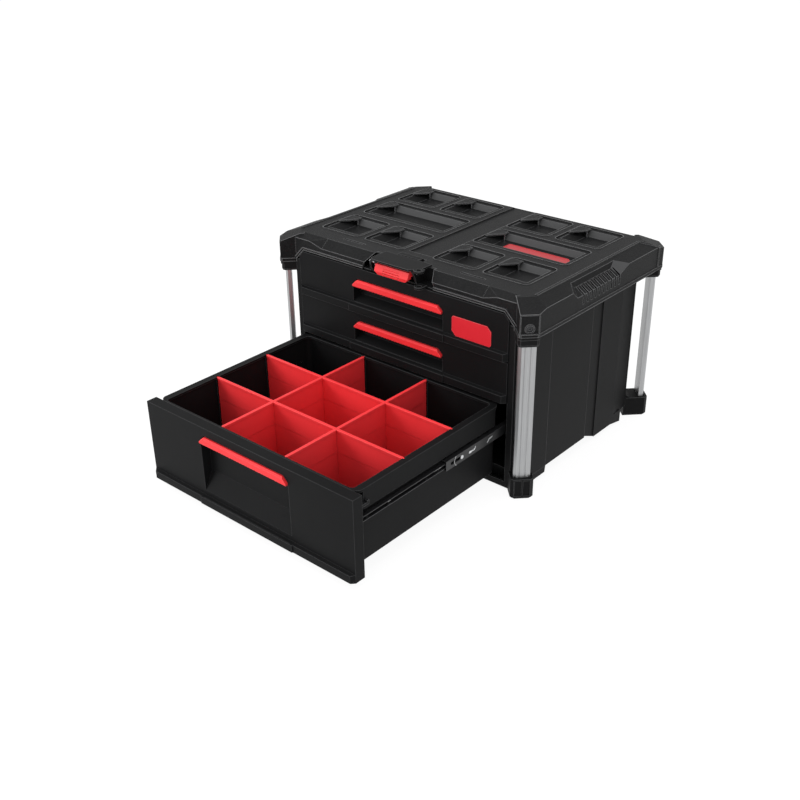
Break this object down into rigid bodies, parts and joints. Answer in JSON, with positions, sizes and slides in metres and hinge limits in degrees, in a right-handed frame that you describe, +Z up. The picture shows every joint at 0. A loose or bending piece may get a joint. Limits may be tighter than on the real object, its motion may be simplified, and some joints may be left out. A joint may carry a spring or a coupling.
{
  "type": "drawer tool box",
  "caption": "Stackable drawer tool box: socketed lid with a front latch, aluminium corner posts, three drawers on ball-bearing slides with red grips, and a deep bottom drawer with red dividers.",
  "frame": {"origin": "on the floor, under the centre of the whole box with its bottom drawer open", "axes": "+X to the right, -Y towards the drawers' fronts, +Z up"},
  "size_m": [0.564, 0.7656, 0.346],
  "materials": {
    "case": "matte charcoal, moulded",
    "lid": "matte charcoal, textured",
    "drawer": "matte charcoal, moulded",
    "red": "satin red",
    "post": "satin extruded",
    "slide": "black coated steel",
    "zinc": "bright zinc plating",
    "steel": "plain steel"
  },
  "bodies": {
    "case": {"case_shell": "case", "top_lid": "lid", "post_front_left": "post", "post_front_right": "post", "post_rear_left": "post", "post_rear_right": "post", "lid_screws": "zinc", "post_screws": "zinc", "lid_badge": "red", "socket_pins": "zinc", "latch_housing": "case", "latch_pin": "steel", "latch_spring": "steel", "slide_outer_top": "slide", "slide_outer_middle": "slide", "slide_outer_bottom": "slide", "slide_screws": "zinc"},
    "latch": {"latch_paddle": "red", "latch_tongue": "case"},
    "top_drawer": {"tub_top": "drawer", "front_top": "drawer", "grip_spring_top": "steel", "slide_inner_top": "slide", "drawer_screws_top": "zinc", "front_badge": "red"},
    "top_slide_middles": {"slide_middle_top": "slide"},
    "top_outer_cages": {"cage_outer_top": "steel"},
    "top_inner_cages": {"cage_inner_top": "steel"},
    "top_grip": {"grip_top": "red", "grip_rod_top": "steel", "lock_hooks_top": "case"},
    "middle_drawer": {"tub_middle": "drawer", "front_middle": "drawer", "grip_spring_middle": "steel", "slide_inner_middle": "slide", "drawer_screws_middle": "zinc"},
    "middle_slide_middles": {"slide_middle_middle": "slide"},
    "middle_outer_cages": {"cage_outer_middle": "steel"},
    "middle_inner_cages": {"cage_inner_middle": "steel"},
    "middle_grip": {"grip_middle": "red", "grip_rod_middle": "steel", "lock_hooks_middle": "case"},
    "bottom_drawer": {"tub_bottom": "drawer", "front_bottom": "drawer", "grip_spring_bottom": "steel", "slide_inner_bottom": "slide", "drawer_screws_bottom": "zinc", "divider_long_left": "red", "divider_long_right": "red", "divider_cross_front": "red", "divider_cross_rear": "red"},
    "bottom_slide_middles": {"slide_middle_bottom": "slide"},
    "bottom_outer_cages": {"cage_outer_bottom": "steel"},
    "bottom_inner_cages": {"cage_inner_bottom": "steel"},
    "bottom_grip": {"grip_bottom": "red", "grip_rod_bottom": "steel", "lock_hooks_bottom": "case"}
  },
  "joints": [
    {"name": "top_drawer_slide", "type": "slide", "parent": "case", "child": "top_drawer", "axis": [0, -1, 0], "range_m": [0, 0.356]},
    {"name": "top_middles_slide", "type": "slide", "parent": "case", "child": "top_slide_middles", "axis": [0, -1, 0], "range_m": [0, 0.178]},
    {"name": "top_outer_cages_slide", "type": "slide", "parent": "case", "child": "top_outer_cages", "axis": [0, -1, 0], "range_m": [0, 0.089]},
    {"name": "top_inner_cages_slide", "type": "slide", "parent": "case", "child": "top_inner_cages", "axis": [0, -1, 0], "range_m": [0, 0.267]},
    {"name": "top_grip_hinge", "type": "hinge", "parent": "top_drawer", "child": "top_grip", "pos_m": [0, -0.00975, 0.2875], "axis": [-1, 0, 0], "range_deg": [0, 8], "stiffness_Nm_per_rad": 0.5, "springref_deg": -8.59},
    {"name": "middle_drawer_slide", "type": "slide", "parent": "case", "child": "middle_drawer", "axis": [0, -1, 0], "range_m": [0, 0.356]},
    {"name": "middle_middles_slide", "type": "slide", "parent": "case", "child": "middle_slide_middles", "axis": [0, -1, 0], "range_m": [0, 0.178]},
    {"name": "middle_outer_cages_slide", "type": "slide", "parent": "case", "child": "middle_outer_cages", "axis": [0, -1, 0], "range_m": [0, 0.089]},
    {"name": "middle_inner_cages_slide", "type": "slide", "parent": "case", "child": "middle_inner_cages", "axis": [0, -1, 0], "range_m": [0, 0.267]},
    {"name": "middle_grip_hinge", "type": "hinge", "parent": "middle_drawer", "child": "middle_grip", "pos_m": [0, -0.00975, 0.21], "axis": [-1, 0, 0], "range_deg": [0, 8], "stiffness_Nm_per_rad": 0.5, "springref_deg": -8.59},
    {"name": "bottom_drawer_slide", "type": "slide", "parent": "case", "child": "bottom_drawer", "axis": [0, -1, 0], "range_m": [-0.356, 0]},
    {"name": "bottom_middles_slide", "type": "slide", "parent": "case", "child": "bottom_slide_middles", "axis": [0, -1, 0], "range_m": [-0.178, 0]},
    {"name": "bottom_outer_cages_slide", "type": "slide", "parent": "case", "child": "bottom_outer_cages", "axis": [0, -1, 0], "range_m": [-0.089, 0]},
    {"name": "bottom_inner_cages_slide", "type": "slide", "parent": "case", "child": "bottom_inner_cages", "axis": [0, -1, 0], "range_m": [-0.267, 0]},
    {"name": "bottom_grip_hinge", "type": "hinge", "parent": "bottom_drawer", "child": "bottom_grip", "pos_m": [0, -0.36575, 0.1365], "axis": [-1, 0, 0], "range_deg": [0, 8], "stiffness_Nm_per_rad": 0.5, "springref_deg": -8.59},
    {"name": "latch_hinge", "type": "hinge", "parent": "case", "child": "latch", "pos_m": [0, -0.01525, 0.333], "axis": [-1, 0, 0], "range_deg": [0, 15], "stiffness_Nm_per_rad": 0.3, "springref_deg": -11.46}
  ],
  "couplings": [
    {"joint": "top_middles_slide", "follows": "top_drawer_slide", "ratio": 0.5},
    {"joint": "top_outer_cages_slide", "follows": "top_drawer_slide", "ratio": 0.25},
    {"joint": "top_inner_cages_slide", "follows": "top_drawer_slide", "ratio": 0.75},
    {"joint": "middle_middles_slide", "follows": "middle_drawer_slide", "ratio": 0.5},
    {"joint": "middle_outer_cages_slide", "follows": "middle_drawer_slide", "ratio": 0.25},
    {"joint": "middle_inner_cages_slide", "follows": "middle_drawer_slide", "ratio": 0.75},
    {"joint": "bottom_middles_slide", "follows": "bottom_drawer_slide", "ratio": 0.5},
    {"joint": "bottom_outer_cages_slide", "follows": "bottom_drawer_slide", "ratio": 0.25},
    {"joint": "bottom_inner_cages_slide", "follows": "bottom_drawer_slide", "ratio": 0.75}
  ]
}
